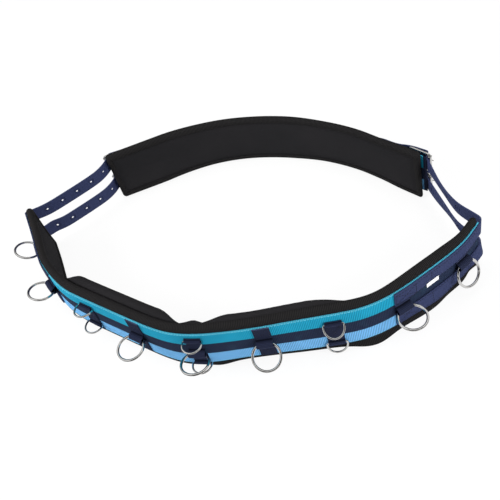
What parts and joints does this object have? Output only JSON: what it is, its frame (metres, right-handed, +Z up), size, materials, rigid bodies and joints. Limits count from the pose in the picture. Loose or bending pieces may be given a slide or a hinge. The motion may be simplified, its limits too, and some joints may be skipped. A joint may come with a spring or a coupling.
{
  "type": "lungeing roller",
  "caption": "Padded lungeing roller buckled to its girth as a closed loop on edge: striped webbing with hinged rings and dees, withers pads, punched billets in roller buckles.",
  "frame": {"origin": "bottom centre of the bounding box, on the floor that the belt's lower edges stand on", "axes": "+X from the roller's left end to its right end, +Y from the roller's middle to the girth, +Z up along the belt's width"},
  "size_m": [0.755, 0.4988, 0.1],
  "materials": {
    "pad": "matte black padded fabric",
    "foam": "closed-cell foam",
    "tape": "woven binding tape",
    "webbing": "woven webbing in teal, navy and light blue stripes",
    "navy": "woven navy strap",
    "nickel": "polished nickel plate",
    "label": "bare white woven label"
  },
  "bodies": {
    "belt": {"billet_left_lower": "navy", "billet_left_upper": "navy", "billet_right_lower": "navy", "billet_right_upper": "navy", "buckle_chape_left_lower": "navy", "buckle_chape_left_upper": "navy", "buckle_chape_right_lower": "navy", "buckle_chape_right_upper": "navy", "buckle_frame_left_lower": "nickel", "buckle_frame_left_upper": "nickel", "buckle_frame_right_lower": "nickel", "buckle_frame_right_upper": "nickel", "centre_tab": "navy", "girth_backing": "pad", "girth_binding": "tape", "girth_foam": "foam", "girth_lining": "pad", "girth_webbing": "webbing", "label_bare": "label", "ring_chape_left_3": "navy", "ring_chape_left_4": "navy", "ring_chape_right_3": "navy", "ring_chape_right_4": "navy", "roller_backing": "pad", "roller_binding": "tape", "roller_foam": "foam", "roller_lining": "pad", "roller_webbing": "webbing", "tab_left_1": "navy", "tab_left_2": "navy", "tab_right_1": "navy", "tab_right_2": "navy", "withers_pad_left": "pad", "withers_pad_right": "pad"},
    "ring_centre": {"ring_centre": "nickel"},
    "ring_left_1": {"ring_left_1": "nickel"},
    "ring_right_1": {"ring_right_1": "nickel"},
    "ring_left_3": {"ring_left_3": "nickel"},
    "ring_right_3": {"ring_right_3": "nickel"},
    "ring_left_4": {"ring_left_4": "nickel"},
    "ring_right_4": {"ring_right_4": "nickel"},
    "dee_centre_upper": {"dee_centre_upper": "nickel"},
    "dee_centre_lower": {"dee_centre_lower": "nickel"},
    "dee_left_2_upper": {"dee_left_2_upper": "nickel"},
    "dee_left_2_lower": {"dee_left_2_lower": "nickel"},
    "dee_right_2_upper": {"dee_right_2_upper": "nickel"},
    "dee_right_2_lower": {"dee_right_2_lower": "nickel"},
    "buckle_roller_left_upper": {"buckle_roller_left_upper": "nickel"},
    "buckle_tongue_left_upper": {"buckle_tongue_left_upper": "nickel"},
    "buckle_roller_left_lower": {"buckle_roller_left_lower": "nickel"},
    "buckle_tongue_left_lower": {"buckle_tongue_left_lower": "nickel"},
    "buckle_roller_right_upper": {"buckle_roller_right_upper": "nickel"},
    "buckle_tongue_right_upper": {"buckle_tongue_right_upper": "nickel"},
    "buckle_roller_right_lower": {"buckle_roller_right_lower": "nickel"},
    "buckle_tongue_right_lower": {"buckle_tongue_right_lower": "nickel"}
  },
  "joints": [
    {"name": "ring_centre_swing", "type": "hinge", "parent": "belt", "child": "ring_centre", "pos_m": [0.00225, -0.21028, 0.046], "axis": [-0.991, -0.1339, 0], "range_deg": [-65, 10]},
    {"name": "ring_left_1_swing", "type": "hinge", "parent": "belt", "child": "ring_left_1", "pos_m": [-0.09702, -0.19669, 0.05], "axis": [-0.9542, 0.2992, 0], "range_deg": [-82, 94]},
    {"name": "ring_right_1_swing", "type": "hinge", "parent": "belt", "child": "ring_right_1", "pos_m": [0.09823, -0.18594, 0.051], "axis": [-0.9601, -0.2797, 0], "range_deg": [-58, 118]},
    {"name": "ring_left_3_swing", "type": "hinge", "parent": "belt", "child": "ring_left_3", "pos_m": [-0.28134, -0.1198, 0.05], "axis": [-0.769, 0.6392, 0], "range_deg": [-103, 73]},
    {"name": "ring_right_3_swing", "type": "hinge", "parent": "belt", "child": "ring_right_3", "pos_m": [0.28119, -0.10648, 0.05], "axis": [-0.7177, -0.6964, 0], "range_deg": [-84, 92]},
    {"name": "ring_left_4_swing", "type": "hinge", "parent": "belt", "child": "ring_left_4", "pos_m": [-0.34356, -0.0443, 0.05], "axis": [-0.612, 0.7909, 0], "range_deg": [-112, 64]},
    {"name": "ring_right_4_swing", "type": "hinge", "parent": "belt", "child": "ring_right_4", "pos_m": [0.35468, -0.02215, 0.05], "axis": [-0.5649, -0.8252, 0], "range_deg": [-26, 150]},
    {"name": "dee_centre_upper_swing", "type": "hinge", "parent": "belt", "child": "dee_centre_upper", "pos_m": [0.00185, -0.2073, 0.075], "axis": [-0.991, -0.1339, 0], "range_deg": [-80, 80]},
    {"name": "dee_centre_lower_swing", "type": "hinge", "parent": "belt", "child": "dee_centre_lower", "pos_m": [0.00185, -0.2073, 0.018], "axis": [-0.991, -0.1339, 0], "range_deg": [-90, 23]},
    {"name": "dee_left_2_upper_swing", "type": "hinge", "parent": "belt", "child": "dee_left_2_upper", "pos_m": [-0.1901, -0.1642, 0.069], "axis": [-0.952, 0.306, 0], "range_deg": [-86, 74]},
    {"name": "dee_left_2_lower_swing", "type": "hinge", "parent": "belt", "child": "dee_left_2_lower", "pos_m": [-0.1901, -0.1642, 0.026], "axis": [-0.952, 0.306, 0], "range_deg": [-84, 8]},
    {"name": "dee_right_2_upper_swing", "type": "hinge", "parent": "belt", "child": "dee_right_2_upper", "pos_m": [0.19186, -0.15471, 0.069], "axis": [-0.9519, -0.3065, 0], "range_deg": [-46, 114]},
    {"name": "dee_right_2_lower_swing", "type": "hinge", "parent": "belt", "child": "dee_right_2_lower", "pos_m": [0.19186, -0.15471, 0.023], "axis": [-0.9519, -0.3065, 0], "range_deg": [-4, 88]},
    {"name": "buckle_roller_left_upper_spin", "type": "hinge", "parent": "belt", "child": "buckle_roller_left_upper", "pos_m": [-0.2786, 0.14519, 0.07], "axis": [0, 0, 1], "continuous": true},
    {"name": "buckle_tongue_left_upper_rock", "type": "hinge", "parent": "belt", "child": "buckle_tongue_left_upper", "pos_m": [-0.24781, 0.16385, 0.07], "axis": [0, 0, -1], "range_deg": [0, 1.2]},
    {"name": "buckle_roller_left_lower_spin", "type": "hinge", "parent": "belt", "child": "buckle_roller_left_lower", "pos_m": [-0.2786, 0.14519, 0.025], "axis": [0, 0, 1], "continuous": true},
    {"name": "buckle_tongue_left_lower_rock", "type": "hinge", "parent": "belt", "child": "buckle_tongue_left_lower", "pos_m": [-0.24781, 0.16385, 0.025], "axis": [0, 0, -1], "range_deg": [0, 1.2]},
    {"name": "buckle_roller_right_upper_spin", "type": "hinge", "parent": "belt", "child": "buckle_roller_right_upper", "pos_m": [0.29215, 0.16079, 0.07], "axis": [0, 0, -1], "continuous": true},
    {"name": "buckle_tongue_right_upper_rock", "type": "hinge", "parent": "belt", "child": "buckle_tongue_right_upper", "pos_m": [0.26039, 0.17774, 0.07], "axis": [0, 0, 1], "range_deg": [0, 1.2]},
    {"name": "buckle_roller_right_lower_spin", "type": "hinge", "parent": "belt", "child": "buckle_roller_right_lower", "pos_m": [0.29215, 0.16079, 0.025], "axis": [0, 0, -1], "continuous": true},
    {"name": "buckle_tongue_right_lower_rock", "type": "hinge", "parent": "belt", "child": "buckle_tongue_right_lower", "pos_m": [0.26039, 0.17774, 0.025], "axis": [0, 0, 1], "range_deg": [0, 1.2]}
  ]
}
